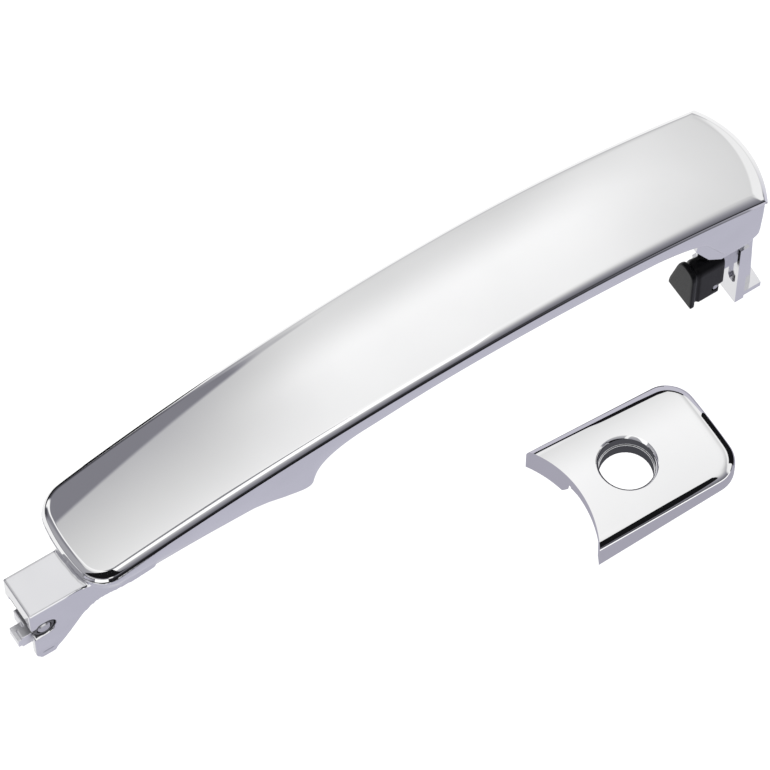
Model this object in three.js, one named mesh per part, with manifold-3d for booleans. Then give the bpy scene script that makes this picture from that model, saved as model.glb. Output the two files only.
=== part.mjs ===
// Outside pull handle of a car door, with the cap that covers the key cylinder behind it.
//
// Millimetres. +X runs towards the rear end of the grip, where the cap belongs, +Y runs up
// the door and +Z points out of the door. The origin is the middle of the front foot's flat
// seating face, which lies on the door skin. The cap lies beside the grip, with its rim in
// the same plane as that face.

import * as THREE from "three";
import { mergeVertices } from "three/addons/utils/BufferGeometryUtils.js";
import Module from "manifold-3d";

// ---------------------------------------------------------------- driving dimensions

const GAP = 0.35; // clearance between two pieces that meet

// Grip: plan outline
const GRIP_FRONT_X = -36.4;
const GRIP_CORNER_X = 203; // the two sharp rear corners
const GRIP_HALF_WIDTH = 19.95; // at its widest place
const GRIP_WIDEST_X = 136;
const FRONT_NARROWING = 2; // loss of half width at FRONT_NARROWING_RUN from the widest place
const FRONT_NARROWING_RUN = 160;
const REAR_NARROWING = 0.3;
const REAR_NARROWING_RUN = 67;
const FRONT_ARC_RADIUS = 55;
const FRONT_CORNER_RADIUS = 10;
const REAR_ARC_RADIUS = 38;

// Grip: the arched parting line between the skin and the base, seen from the side
const CROWN_X = 109;
const CROWN_Z = 25.8;
const ARCH_FRONT_RADIUS = 571;
const ARCH_REAR_RADIUS = 385;

// Skin section
const SKIN_SIDE = 0.55; // upright part of its edge
const SKIN_CROWN_RADIUS = 95;
const SHOULDER_FRONT = 2.85;
const SHOULDER_REAR = 3.7;
const SHOULDER_SPREAD = 0.857; // width of the rounded shoulder over its radius
const SHOULDER_CHANGE = [90, 190]; // the shoulder radius grows between these stations
const REAR_SPREAD = 1.5; // the shoulder is this much wider along the rear arc
const LOCATING_RAIL = { width: 1.3, depth: 3, ends: [-20, 176] };

// Base
const BASE_INSET = 0.45;
const BASE_WALL = 2.6;
const BASE_RIB = 1.6;
const RIB_STATIONS = [8, 66, 88, 110, 132, 154];
const RIB_TOP = 3.4; // below the rim
const REAR_FOOT_Z = -7.5;
const REAR_PAD = [[190.4, 198.4], [8.6, 17], [-8.8, REAR_FOOT_Z + 2]]; // seating pad beside the leg

// Front arm and pivot
const ARM_TOP_Z = 5.6;
const ARM_BOTTOM_Z = -23;
const ARM_END_X = -54.6;
const ARM_NEAR_Y = -13.2;
const ARM_FAR_Y = 2;
const ARM_WALL = 2.6;
const PIVOT_X = -50;
const PIVOT_Z = -6.8;
const PIVOT_SLOT_RADIUS = 3.95;
const PIVOT_BUSH_RADIUS = 3.6;
const PIVOT_PIN_RADIUS = 2.2;

// Screws
const SKIN_SCREWS = { skin_screw_front: [-13, 0, 0], skin_screw_rear: [165, 0, 11.8] };
const SKIN_BOSS_RADIUS = 4;
const LEG_SCREWS = { leg_screw_near: [194.6, -9.5], leg_screw_far: [194.6, 2.5] };
const SCREW_SHANK_RADIUS = 1.6;
const SCREW_HEAD_RADIUS = 3.2;
const SCREW_HEAD_HEIGHT = 2.2;

// Latch leg
const LEG_NEAR_Y = -15.4;
const LEG_FAR_Y = 7;
const LEG_BOTTOM_Z = -50;
const SADDLE_BOTTOM_Z = -12.4;
const WEB_X = 198.5;
const WEB_THICKNESS = 3.3;
const TONGUE_Y = [-9.2, -6.6];

// Buffer
const BUFFER_X = [181.4, 194.2];
const BUFFER_PIN = { x: 191.2, z: -35.2, radius: 1 };

// Key cap
const CAP_Y = -67.8;
const CAP_FRONT_X = 96; // the two sharp front corners
const CAP_REAR_X = 149.4;
const CAP_HALF_WIDTH = 19.4;
const CAP_TAPER = 0.7; // loss of half width at the rear
const CAP_CORNER_RADIUS = 9;
const CAP_WALL = 1.8;
const CAP_SKIRT_FRONT = 8.6;
const CAP_SKIRT_REAR = 3.9;
const CAP_SHOULDER = 2.6;
const KEY_HOLE_X = 118.8;
const KEY_HOLE_RADIUS = 8.5;
const KEY_CHAMFER_RADIUS = 9.4;
const CAP_COLLAR_TOP = 5.4;
const CAP_FRAME_Z = [1, 3.4];
const CAP_SCREWS = { cap_screw_near: -12.4, cap_screw_far: 12.4 };
const CAP_SCREW_X = 138;
const CAP_SCREW_RADIUS = 1;

// ---------------------------------------------------------------- materials

const finish = (color, roughness, metalness) =>
  new THREE.MeshStandardMaterial({ color, roughness, metalness });
const chrome = finish(0xe6e7e8, 0.06, 1);
const satin = finish(0xa9a9b8, 0.3, 0.85);
const silver = finish(0xc9cad0, 0.32, 0.8);
const steel = finish(0x8e9096, 0.3, 1);
const blackRubber = finish(0x141416, 0.55, 0);
const darkPlastic = finish(0x2c2d30, 0.45, 0);
const felt = finish(0x232323, 0.95, 0);

// ---------------------------------------------------------------- solids

const wasm = await Module();
wasm.setup();

function solid(geometry) {
  const bare = geometry.index ? geometry.toNonIndexed() : geometry.clone();
  bare.deleteAttribute("normal");
  bare.deleteAttribute("uv");
  const merged = mergeVertices(bare, 1e-4);
  return new wasm.Manifold(
    new wasm.Mesh({
      numProp: 3,
      vertProperties: merged.attributes.position.array,
      triVerts: new Uint32Array(merged.index.array),
    }),
  );
}

function node(name, body, material) {
  const { numProp, vertProperties, triVerts } = body.getMesh();
  const corners = new Float32Array((vertProperties.length / numProp) * 3);
  for (let i = 0; i < corners.length / 3; i++) {
    corners.set(vertProperties.subarray(i * numProp, i * numProp + 3), i * 3);
  }
  const geometry = new THREE.BufferGeometry();
  geometry.setAttribute("position", new THREE.BufferAttribute(corners, 3));
  geometry.setIndex(new THREE.BufferAttribute(triVerts, 1));
  geometry.computeVertexNormals();
  const mesh = new THREE.Mesh(geometry, material);
  mesh.name = name;
  return mesh;
}

const union = (bodies) => bodies.reduce((all, body) => all.add(body));
const outline = (points) => new THREE.Shape(points.map(([u, v]) => new THREE.Vector2(u, v)));
const extrude = (shape, depth, curveSegments = 8) =>
  new THREE.ExtrudeGeometry(shape, { depth, bevelEnabled: false, curveSegments });

// A plan outline (x, y) raised from z0 to z1.
const plate = (shape, z0, z1, curveSegments) =>
  solid(extrude(shape, z1 - z0, curveSegments).translate(0, 0, z0));

// A side outline (x, z) spread from y0 to y1.
const slab = (shape, y0, y1, curveSegments) =>
  solid(
    extrude(shape, y1 - y0, curveSegments)
      .rotateX(Math.PI / 2)
      .translate(0, y1, 0),
  );

// An end outline (y, z) spread from x0 to x1.
const bar = (shape, x0, x1, curveSegments) =>
  solid(
    extrude(shape, x1 - x0, curveSegments)
      .rotateX(Math.PI / 2)
      .rotateZ(Math.PI / 2)
      .translate(x0, 0, 0),
  );

function block([x0, x1], [y0, y1], [z0, z1]) {
  const size = new THREE.BoxGeometry(x1 - x0, y1 - y0, z1 - z0);
  return solid(size.translate((x0 + x1) / 2, (y0 + y1) / 2, (z0 + z1) / 2));
}

function upright(radius, x, y, [z0, z1], sides = 24, topRadius = radius) {
  const rod = new THREE.CylinderGeometry(topRadius, radius, z1 - z0, sides);
  return solid(rod.rotateX(Math.PI / 2).translate(x, y, (z0 + z1) / 2));
}

function crosswise(radius, x, z, [y0, y1], sides = 24) {
  const rod = new THREE.CylinderGeometry(radius, radius, y1 - y0, sides);
  return solid(rod.translate(x, (y0 + y1) / 2, z));
}

// A closed solid through rings of equally many points, each ring convex.
function loft(rings) {
  const count = rings[0].length;
  const triangles = [];
  for (let i = 0; i + 1 < rings.length; i++) {
    for (let j = 0; j < count; j++) {
      const next = (j + 1) % count;
      triangles.push(rings[i][j], rings[i][next], rings[i + 1][next]);
      triangles.push(rings[i][j], rings[i + 1][next], rings[i + 1][j]);
    }
  }
  const last = rings[rings.length - 1];
  for (let j = 1; j + 1 < count; j++) {
    triangles.push(rings[0][0], rings[0][j + 1], rings[0][j]);
    triangles.push(last[0], last[j], last[j + 1]);
  }
  return solid(new THREE.BufferGeometry().setFromPoints(triangles));
}

// ---------------------------------------------------------------- curves of the grip

const smooth = THREE.MathUtils.smoothstep;
const stations = (from, to, count) =>
  Array.from({ length: count + 1 }, (_, i) => from + ((to - from) * i) / count);

function halfWidth(x) {
  const [loss, run] =
    x < GRIP_WIDEST_X
      ? [FRONT_NARROWING, FRONT_NARROWING_RUN]
      : [REAR_NARROWING, REAR_NARROWING_RUN];
  return GRIP_HALF_WIDTH - loss * ((x - GRIP_WIDEST_X) / run) ** 2;
}

function partingHeight(x) {
  const radius = x < CROWN_X ? ARCH_FRONT_RADIUS : ARCH_REAR_RADIUS;
  return CROWN_Z - radius + Math.sqrt(radius ** 2 - (x - CROWN_X) ** 2);
}

function shoulderRadius(x) {
  const share = smooth(x, ...SHOULDER_CHANGE);
  return SHOULDER_FRONT + (SHOULDER_REAR - SHOULDER_FRONT) * share;
}

// The rim follows the crown: it rises from the parting height at the sides to the middle.
function rimHeight(x, y) {
  const sideRise = Math.sqrt(SKIN_CROWN_RADIUS ** 2 - halfWidth(x) ** 2);
  return partingHeight(x) + Math.sqrt(SKIN_CROWN_RADIUS ** 2 - y ** 2) - sideRise;
}

// Fall of the rounded shoulder below the crowned top, at a share of its width from the edge.
function shoulderDrop(x, share) {
  const radius = shoulderRadius(x);
  const run = radius * SHOULDER_SPREAD * (1 - share);
  return radius - Math.sqrt(radius ** 2 - run ** 2);
}

const REAR_ARC_X =
  GRIP_CORNER_X - Math.sqrt(REAR_ARC_RADIUS ** 2 - halfWidth(GRIP_CORNER_X) ** 2);
const FRONT_ARC_X = GRIP_FRONT_X + FRONT_ARC_RADIUS;
const BEND_Y = halfWidth(GRIP_FRONT_X + FRONT_CORNER_RADIUS) - FRONT_CORNER_RADIUS;
const BEND_X =
  FRONT_ARC_X - Math.sqrt((FRONT_ARC_RADIUS - FRONT_CORNER_RADIUS) ** 2 - BEND_Y ** 2);
const BEND_START = Math.asin(BEND_Y / (FRONT_ARC_RADIUS - FRONT_CORNER_RADIUS));
const BEND_COLUMNS = 5;
const COLUMNS = 29;
const ACROSS = 8;

function rearCorner(inset) {
  let x = GRIP_CORNER_X;
  for (let i = 0; i < 6; i++) {
    const arc = REAR_ARC_RADIUS - inset * REAR_SPREAD;
    x = REAR_ARC_X + Math.sqrt(arc ** 2 - (halfWidth(x) - inset) ** 2);
  }
  return x;
}

// How far an arc of this radius stands proud of its own chord at a share v of the half chord.
const bow = (radius, half, v) =>
  Math.sqrt(radius ** 2 - (v * half) ** 2) - Math.sqrt(radius ** 2 - half ** 2);

// The grip's plan as columns from its bowed front end to its rear arc. In each column v runs
// from -1 on the near side to 1 on the far side; inset shrinks the whole outline.
function planPoint(column, v, inset) {
  if (column <= BEND_COLUMNS) {
    const share = column / BEND_COLUMNS;
    const turn = BEND_START + (Math.PI / 2 - BEND_START) * share;
    const corner = FRONT_CORNER_RADIUS - inset;
    const half = BEND_Y + corner * Math.sin(turn);
    const proud = (1 - share) * bow(FRONT_ARC_RADIUS - inset, half, v);
    return [BEND_X - corner * Math.cos(turn) - proud, v * half];
  }
  const share = (column - BEND_COLUMNS) / (COLUMNS - BEND_COLUMNS);
  const x = BEND_X + share * (rearCorner(inset) - BEND_X);
  const half = halfWidth(x) - inset;
  const arc = REAR_ARC_RADIUS - inset * REAR_SPREAD;
  return [x + smooth(share, 0.7, 1) * bow(arc, half, v), v * half];
}

const acrossShares = stations(-1, 1, ACROSS);
const planRing = [
  ...acrossShares.map((v) => [COLUMNS, v]),
  ...stations(COLUMNS - 1, 1, COLUMNS - 2).map((column) => [column, 1]),
  ...acrossShares.map((v) => [0, -v]),
  ...stations(1, COLUMNS - 1, COLUMNS - 2).map((column) => [column, -1]),
];

function gripPlan(inset) {
  return outline(planRing.map(([column, v]) => planPoint(column, v, inset)));
}

// A closed solid through layers of the plan, from the lowest to the highest. A layer gives
// the inset and the height of its points; the first and the last are filled across.
function layered(layers) {
  const triangles = [];
  const quad = (a, b, c, d) => triangles.push(a, b, c, a, c, d);
  const place = ({ inset, height }, column, v) => {
    const [edgeX] = planPoint(column, v, 0);
    const [x, y] = planPoint(column, v, inset(edgeX));
    return new THREE.Vector3(x, y, height(x, y));
  };
  const rings = layers.map((layer) => planRing.map(([column, v]) => place(layer, column, v)));
  for (let i = 0; i + 1 < rings.length; i++) {
    for (let j = 0; j < planRing.length; j++) {
      const next = (j + 1) % planRing.length;
      quad(rings[i][j], rings[i][next], rings[i + 1][next], rings[i + 1][j]);
    }
  }
  const [lowest, highest] = [layers[0], layers[layers.length - 1]];
  for (let column = 0; column < COLUMNS; column++) {
    for (let k = 0; k < ACROSS; k++) {
      const [v, w] = [acrossShares[k], acrossShares[k + 1]];
      const corners = [[column, v], [column + 1, v], [column + 1, w], [column, w]];
      quad(...corners.map(([c, at]) => place(highest, c, at)));
      quad(...corners.reverse().map(([c, at]) => place(lowest, c, at)));
    }
  }
  return solid(new THREE.BufferGeometry().setFromPoints(triangles));
}

// A volume under the rim with upright sides.
const underRim = (inset, below, foot = -20) =>
  layered([
    { inset: () => inset, height: () => foot },
    { inset: () => inset, height: (x, y) => rimHeight(x, y) - below },
  ]);

// One crowned cross-section: two upright edges, two shoulders and a wide arc over the top.
function crownedRing(x, y, half, foot, edge, shoulder, crownRadius) {
  const inner = half - shoulder;
  const centreZ = edge - Math.sqrt((crownRadius - shoulder) ** 2 - inner ** 2);
  const lean = Math.asin(inner / (crownRadius - shoulder));
  const profile = [[half, foot]];
  for (const t of stations(0, 1, 4)) {
    const turn = t * (Math.PI / 2 - lean);
    profile.push([inner + shoulder * Math.cos(turn), edge + shoulder * Math.sin(turn)]);
  }
  for (const t of stations(0, 1, 4).slice(1)) {
    const turn = lean * (1 - t);
    profile.push([crownRadius * Math.sin(turn), centreZ + crownRadius * Math.cos(turn)]);
  }
  const mirrored = profile.slice(0, -1).reverse();
  return [
    ...profile.map(([u, z]) => new THREE.Vector3(x, y + u, z)),
    ...mirrored.map(([u, z]) => new THREE.Vector3(x, y - u, z)),
  ];
}

// ---------------------------------------------------------------- outer skin

// The skin's crowned volume: its top lowered by lower, its foot sink below the rim.
function skinVolume(lower, sink) {
  const shoulder = stations(0, 1, 5).map((t) => {
    const share = 1 - Math.cos((t * Math.PI) / 2);
    return {
      inset: (x) => share * SHOULDER_SPREAD * shoulderRadius(x),
      height: (x, y) =>
        rimHeight(x, y) + SKIN_SIDE + shoulderDrop(x, 0) - shoulderDrop(x, share) - lower,
    };
  });
  return layered([{ inset: () => 0, height: (x, y) => rimHeight(x, y) - sink }, ...shoulder]);
}

// Rails under the skin that sit just inside the walls of the base.
function locatingRails() {
  const { width, depth, ends } = LOCATING_RAIL;
  const inset = BASE_INSET + BASE_WALL + GAP;
  const reach = block(ends, [-30, 30], [-20, 40]);
  return underRim(inset, -0.5)
    .subtract(underRim(inset + width, -1))
    .subtract(underRim(-1, depth))
    .intersect(reach);
}

function outerSkin() {
  const bosses = Object.values(SKIN_SCREWS).map(([x, y, seat]) => {
    const foot = seat + BASE_WALL + GAP;
    const boss = upright(SKIN_BOSS_RADIUS, x, y, [foot, 45]);
    return boss.intersect(skinVolume(0.6, 30));
  });
  const bores = Object.values(SKIN_SCREWS).map(([x, y, seat]) =>
    upright(SCREW_SHANK_RADIUS + GAP, x, y, [seat - 1, seat + 8.4], 16),
  );
  return union([skinVolume(0, 0), locatingRails(), ...bosses]).subtract(union(bores));
}

// ---------------------------------------------------------------- base and front arm

// The lower edge of the base from its front end to its rear end: flat front foot, bulge,
// hooked step into the finger gap, long finger ceiling and the rear foot.
function undersidePath(shape) {
  shape.lineTo(GRIP_FRONT_X, 3.2);
  shape.quadraticCurveTo(-31, 0.2, -24, 0);
  shape.lineTo(23, 0);
  shape.quadraticCurveTo(31, -3.6, 37, -4.9);
  shape.quadraticCurveTo(40.6, -5.6, 41.2, -2.6);
  shape.bezierCurveTo(41.8, 4, 46, 10.4, 58, 12.3);
  shape.quadraticCurveTo(86, 15.9, 114, 15.25);
  shape.quadraticCurveTo(146, 14.4, 174, 9.8);
  shape.quadraticCurveTo(179, 9, 181.5, 7);
  shape.lineTo(187.5, -3.2);
  shape.quadraticCurveTo(189.6, REAR_FOOT_Z, 193, REAR_FOOT_Z);
  shape.lineTo(198.6, REAR_FOOT_Z);
  shape.lineTo(205, -3.2);
  shape.lineTo(210, -3.2);
}

const aboveUnderside = () => {
  const shape = new THREE.Shape();
  shape.moveTo(GRIP_FRONT_X - 2, 45);
  shape.lineTo(GRIP_FRONT_X - 2, 3.2);
  undersidePath(shape);
  shape.lineTo(212, 45);
  return slab(shape, -30, 30);
};

function traySide() {
  const shape = new THREE.Shape();
  shape.moveTo(GRIP_FRONT_X, 45);
  shape.lineTo(GRIP_FRONT_X, 8);
  shape.lineTo(-25, BASE_WALL);
  shape.lineTo(36, BASE_WALL);
  shape.quadraticCurveTo(40, 13, 58, 14.9);
  shape.quadraticCurveTo(86, 18.5, 114, 17.9);
  shape.quadraticCurveTo(146, 17, 174, 12.6);
  shape.quadraticCurveTo(181, 11.6, 184, 8.6);
  shape.lineTo(191, REAR_FOOT_Z + 3);
  shape.lineTo(210, REAR_FOOT_Z + 3);
  shape.lineTo(210, 45);
  return slab(shape, -30, 30);
}

function trayRibs() {
  const ribs = RIB_STATIONS.map((x) => block([x, x + BASE_RIB], [-20, 20], [0.5, 40]));
  const inside = underRim(BASE_INSET + BASE_WALL / 2, RIB_TOP);
  return union(ribs).intersect(inside).intersect(aboveUnderside());
}

function armSide(endX) {
  const shape = new THREE.Shape();
  shape.moveTo(ARM_END_X, ARM_TOP_Z);
  shape.lineTo(ARM_END_X, PIVOT_Z + 3.4);
  shape.lineTo(endX, PIVOT_Z - 4.6);
  shape.lineTo(endX, ARM_BOTTOM_Z + 1.8);
  shape.quadraticCurveTo(endX, ARM_BOTTOM_Z, endX + 1.6, ARM_BOTTOM_Z);
  shape.lineTo(-46.6, ARM_BOTTOM_Z);
  shape.bezierCurveTo(-42, -19, -38, -12, -33, -6);
  shape.quadraticCurveTo(-28, -0.6, -22, 0);
  shape.lineTo(-22, ARM_TOP_Z);
  return shape;
}

// The hook that rides on the pivot: round at its closed end, with a retaining tooth above
// the mouth.
function pivotSlot() {
  const back = -62;
  const r = PIVOT_SLOT_RADIUS;
  const shape = new THREE.Shape();
  shape.moveTo(back, PIVOT_Z - r - 0.6);
  shape.lineTo(PIVOT_X, PIVOT_Z - r);
  shape.absarc(PIVOT_X, PIVOT_Z, r, -Math.PI / 2, Math.PI / 2, false);
  shape.lineTo(PIVOT_X - 1.6, PIVOT_Z + r);
  shape.lineTo(PIVOT_X - 2.8, PIVOT_Z + r - 1.5);
  shape.lineTo(PIVOT_X - 4, PIVOT_Z + r - 1.5);
  shape.lineTo(back, PIVOT_Z + r + 1.5);
  return slab(shape, -30, 30, 10);
}

function arm() {
  const near = slab(armSide(ARM_END_X + 0.8), ARM_NEAR_Y, ARM_NEAR_Y + ARM_WALL, 6);
  const far = slab(armSide(ARM_END_X + 3.4), ARM_FAR_Y - ARM_WALL, ARM_FAR_Y, 6);
  const middle = slab(armSide(ARM_END_X + 0.8), ARM_NEAR_Y + 1, ARM_FAR_Y - 1, 6);
  const channel = block(
    [-70, -41],
    [ARM_NEAR_Y + ARM_WALL, ARM_FAR_Y - ARM_WALL],
    [-30, ARM_TOP_Z - 2.6],
  );
  const ledge = block(
    [ARM_END_X + 2, -47.2],
    [ARM_NEAR_Y - 0.7, ARM_NEAR_Y + 1],
    [ARM_BOTTOM_Z, ARM_BOTTOM_Z + 2.4],
  );
  return union([middle.subtract(channel), near, far]).subtract(pivotSlot()).add(ledge);
}

function gripBase() {
  const outside = underRim(BASE_INSET, GAP).intersect(aboveUnderside());
  const tray = plate(gripPlan(BASE_INSET + BASE_WALL), -20, 60).intersect(traySide());
  const legHoles = Object.values(LEG_SCREWS).map(([x, y]) =>
    upright(SCREW_SHANK_RADIUS + GAP, x, y, [-20, 2], 16),
  );
  const legBosses = Object.values(LEG_SCREWS).map(([x, y]) =>
    upright(3.6, x, y, [REAR_FOOT_Z + 1, 1.5], 20),
  );
  const skinHoles = Object.values(SKIN_SCREWS).flatMap(([x, y, seat]) => [
    upright(SCREW_SHANK_RADIUS + GAP, x, y, [seat - 5, seat + 5], 16),
    upright(SCREW_HEAD_RADIUS + GAP, x, y, [seat - 8, seat + 0.6]),
  ]);
  const skinWells = Object.values(SKIN_SCREWS).map(([x, y, seat]) =>
    upright(SCREW_HEAD_RADIUS + GAP + 1.6, x, y, [seat + 1, seat + BASE_WALL]),
  );
  const bossRooms = Object.values(SKIN_SCREWS).map(([x, y, seat]) =>
    upright(SKIN_BOSS_RADIUS + GAP, x, y, [seat + BASE_WALL, 40]),
  );
  const rearPad = block(...REAR_PAD);
  const hollow = outside.subtract(tray);
  return union([hollow, trayRibs(), arm(), rearPad, ...legBosses, ...skinWells])
    .subtract(union([...skinHoles, ...legHoles, ...bossRooms]));
}

// A block in the arm's channel whose stepped nose stands out of the arm's end.
function armGuide() {
  const inside = [ARM_NEAR_Y + ARM_WALL + GAP, ARM_FAR_Y - ARM_WALL - GAP];
  const top = PIVOT_Z - PIVOT_BUSH_RADIUS - 2 * GAP;
  const body = block([-54, -41.4], inside, [top - 5.7, top]);
  const nose = block([-57.8, -53.4], [inside[0], inside[0] + 5.4], [top - 4.6, top - 0.8]);
  const step = block([-56.6, -53.4], [inside[0], inside[0] + 3.2], [top - 5.7, top]);
  return union([body, nose, step]);
}

// ---------------------------------------------------------------- screws and pads

// A pan-head screw that points up from its seat.
function screw(x, y, seat, length) {
  const underHead = [seat - SCREW_HEAD_HEIGHT, seat];
  const head = upright(SCREW_HEAD_RADIUS - 0.7, x, y, underHead, 24, SCREW_HEAD_RADIUS);
  const shank = upright(SCREW_SHANK_RADIUS, x, y, [seat - 0.5, seat + length], 16);
  const arms = [
    block([x - 1.7, x + 1.7], [y - 0.35, y + 0.35], [seat - 3, seat - 1.1]),
    block([x - 0.35, x + 0.35], [y - 1.7, y + 1.7], [seat - 3, seat - 1.1]),
  ];
  return head.add(shank).subtract(union(arms));
}

// A felt strip on the floor of the tray that keeps the skin from rattling on the base.
const rattlePad = (x0, x1, z) => block([x0, x1], [8.5, 13.5], [z, z + 1.6]);

// ---------------------------------------------------------------- latch leg

function saddleSide() {
  const top = REAR_FOOT_Z - GAP;
  return outline([
    [180.6, 7.6],
    [187, -3.6],
    [190.4, top],
    [WEB_X + WEB_THICKNESS, top],
    [WEB_X + WEB_THICKNESS, SADDLE_BOTTOM_Z],
    [190, SADDLE_BOTTOM_Z],
    [185, -8],
    [179.6, 1.6],
  ]);
}

function latchLeg() {
  const x1 = WEB_X + WEB_THICKNESS;
  const saddle = slab(saddleSide(), LEG_NEAR_Y - 1.1, LEG_FAR_Y);
  const room = aboveUnderside().translate([0, 0, -GAP]);
  const webZ = [LEG_BOTTOM_Z, SADDLE_BOTTOM_Z + 1];
  const web = block([WEB_X, x1], [LEG_NEAR_Y, LEG_FAR_Y - 6], webZ);
  const notchZ = [-17.6, SADDLE_BOTTOM_Z];
  const notch = block([WEB_X - 1, x1 + 1], [LEG_NEAR_Y - 2, LEG_NEAR_Y + 3], notchZ);
  const groove = bar(
    outline([
      [LEG_NEAR_Y + 1.2, -15],
      [LEG_NEAR_Y + 4.8, -15],
      [LEG_NEAR_Y + 4.8, -38.2],
      [LEG_NEAR_Y + 3.9, -39.8],
      [LEG_NEAR_Y + 2.1, -39.8],
      [LEG_NEAR_Y + 1.2, -38.2],
    ]),
    WEB_X - 1,
    WEB_X + 1,
  );
  const rib = slab(
    outline([
      [x1 - 0.5, SADDLE_BOTTOM_Z + 1],
      [x1 - 0.5, -51.6],
      [x1 + 2.2, -51.6],
      [x1 + 3.6, -46],
      [x1 + 2.4, SADDLE_BOTTOM_Z + 1],
    ]),
    -13.4,
    -11,
  );
  const hook = plate(
    outline([
      [x1 - 0.5, LEG_NEAR_Y],
      [x1 + 6.4, LEG_NEAR_Y],
      [x1 + 7, -8.8],
      [x1 + 3.2, -8.8],
      [x1 - 0.5, -5],
    ]),
    -48.4,
    -46,
  );
  const tongue = block([BUFFER_X[0] + 5, WEB_X + 0.5], TONGUE_Y, [-37.2, -21]);
  const boss = upright(2.4, 189, -9, [-18.6, -6], 24);
  const screwHoles = Object.values(LEG_SCREWS).map(([x, y]) =>
    upright(SCREW_SHANK_RADIUS + GAP, x, y, [-20, 0], 16),
  );
  const pinHole = crosswise(BUFFER_PIN.radius + GAP, BUFFER_PIN.x, BUFFER_PIN.z, [-20, 0], 16);
  const seat = saddle.add(boss).subtract(room);
  return union([seat, web.subtract(notch).subtract(groove), rib, hook, tongue])
    .subtract(union(screwHoles))
    .subtract(pinHole);
}

// ---------------------------------------------------------------- buffer

// The buffer's end outline (y, z): upright near side, round top and a sloping far side.
function bufferEnd(inset) {
  const near = -14.5 + inset;
  const top = -19 - inset;
  const foot = -39.3 + inset;
  const shape = new THREE.Shape();
  shape.moveTo(near, foot);
  shape.lineTo(-2.2 - inset, foot);
  shape.lineTo(-2.6 - inset, -36);
  shape.lineTo(-5.6 - inset, -24.6);
  shape.quadraticCurveTo(-7 - inset, top, -9.6, top);
  shape.lineTo(near + 3.4, top);
  shape.quadraticCurveTo(near, top, near, top - 3.4);
  return shape;
}

function buffer() {
  const [x0, x1] = BUFFER_X;
  const flange = bar(bufferEnd(0), x0, x0 + 1.8, 5);
  const neck = bar(bufferEnd(1), x0 + 1, x0 + 4, 5);
  const body = bar(bufferEnd(0.5), x0 + 3.2, x1, 5);
  const slot = block(
    [x0 + 5 - GAP, x1 + 1],
    [TONGUE_Y[0] - GAP, TONGUE_Y[1] + GAP],
    [-37.2 - GAP, -21 + GAP],
  );
  const pinHole = crosswise(BUFFER_PIN.radius + GAP, BUFFER_PIN.x, BUFFER_PIN.z, [-20, 0], 16);
  const notch = block([x1 - 1.6, x1 + 1], [-16, -12.4], [-41, -34.4]);
  return union([flange, neck, body]).subtract(slot).subtract(pinHole).subtract(notch);
}

// ---------------------------------------------------------------- key cap

const capShare = (x) => (x - CAP_FRONT_X) / (CAP_REAR_X - CAP_FRONT_X);
const capHalf = (x) => CAP_HALF_WIDTH - CAP_TAPER * capShare(x);
const capEdge = (x) => CAP_SKIRT_FRONT + (CAP_SKIRT_REAR - CAP_SKIRT_FRONT) * capShare(x);

// The cap in plan, drawn inset: its front follows the grip's rear arc, and its rear corners
// are round.
function capPlan(inset) {
  const arc = REAR_ARC_RADIUS + inset;
  const arcX = CAP_FRONT_X - Math.sqrt(REAR_ARC_RADIUS ** 2 - CAP_HALF_WIDTH ** 2);
  const reach = Math.asin((CAP_HALF_WIDTH - inset) / arc);
  const corner = CAP_CORNER_RADIUS - inset;
  const cornerX = CAP_REAR_X - CAP_CORNER_RADIUS;
  const cornerY = capHalf(cornerX) - inset - corner;
  const shape = new THREE.Shape();
  shape.absarc(arcX, CAP_Y, arc, reach, -reach, true);
  shape.absarc(cornerX, CAP_Y - cornerY, corner, -Math.PI / 2, 0, false);
  shape.absarc(cornerX, CAP_Y + cornerY, corner, 0, Math.PI / 2, false);
  return shape;
}

function capVolume(inset, foot) {
  const rings = stations(CAP_FRONT_X - 6, CAP_REAR_X + 4, 6).map((x) =>
    crownedRing(
      x,
      CAP_Y,
      capHalf(x) - inset,
      foot,
      capEdge(x),
      Math.max(CAP_SHOULDER - inset, 0.6),
      SKIN_CROWN_RADIUS - inset,
    ),
  );
  return loft(rings).intersect(plate(capPlan(inset), -5, 40));
}

function capShell() {
  const inside = capVolume(CAP_WALL, -2);
  const lip = upright(KEY_HOLE_RADIUS + 1.7, KEY_HOLE_X, CAP_Y, [CAP_COLLAR_TOP + GAP, 20], 40);
  const bosses = Object.values(CAP_SCREWS).map((dy) =>
    upright(2.6, CAP_SCREW_X, CAP_Y + dy, [CAP_FRAME_Z[1] + GAP, 20], 16),
  );
  const bores = Object.values(CAP_SCREWS).map((dy) =>
    upright(CAP_SCREW_RADIUS + GAP, CAP_SCREW_X, CAP_Y + dy, [-1, 5.8], 12),
  );
  const top = capVolume(CAP_WALL / 2, -2);
  const hole = upright(KEY_HOLE_RADIUS, KEY_HOLE_X, CAP_Y, [-5, 30], 40);
  const flare = [KEY_HOLE_RADIUS - 1.2, KEY_CHAMFER_RADIUS + 0.9];
  const chamfer = upright(flare[0], KEY_HOLE_X, CAP_Y, [6.8, 11.4], 40, flare[1]);
  const frontOpening = block([CAP_FRONT_X - 8, 104.4], [CAP_Y - 16.6, CAP_Y + 6.6], [-2, 7.4]);
  return capVolume(0, 0)
    .subtract(inside)
    .add(union([lip, ...bosses]).intersect(top))
    .subtract(union([hole, chamfer, ...bores]))
    .subtract(frontOpening);
}

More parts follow.
